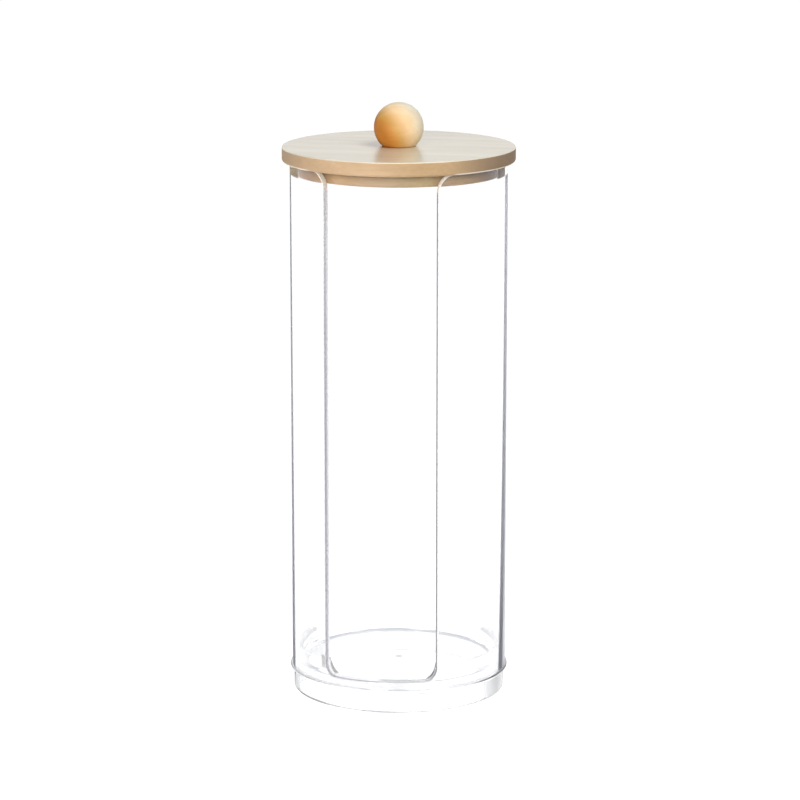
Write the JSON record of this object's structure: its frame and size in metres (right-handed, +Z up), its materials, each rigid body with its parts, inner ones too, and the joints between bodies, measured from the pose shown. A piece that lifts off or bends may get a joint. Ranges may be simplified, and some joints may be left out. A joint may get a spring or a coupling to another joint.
{
  "type": "cotton swab holder",
  "caption": "Tall clear round holder for cotton swabs or rounds, with a front finger slot, a moulded foot and a loose wooden lid with a ball knob.",
  "frame": {"origin": "centre of the foot ring's lowest face, on the surface the holder stands on", "axes": "+Z up along the tube, -Y out through the finger slot, +X to the right of someone facing the slot"},
  "size_m": [0.075, 0.075, 0.1929],
  "materials": {
    "clear_plastic": "polished clear acrylic",
    "clear_base_plastic": "polished clear moulded plastic",
    "lid_wood": "smooth satin, fine straight grain",
    "knob_wood": "sanded and waxed pale hardwood",
    "screw_steel": "zinc-plated"
  },
  "bodies": {
    "holder": {"clear_tube": "clear_plastic", "base_cup": "clear_base_plastic"},
    "lid": {"lid_disc": "lid_wood", "lid_plug": "lid_wood", "ball_knob": "knob_wood", "knob_screw": "screw_steel"}
  },
  "joints": [
    {"name": "lid_lift", "type": "slide", "parent": "holder", "child": "lid", "axis": [0, 0, 1], "range_m": [0, 0.06]}
  ]
}
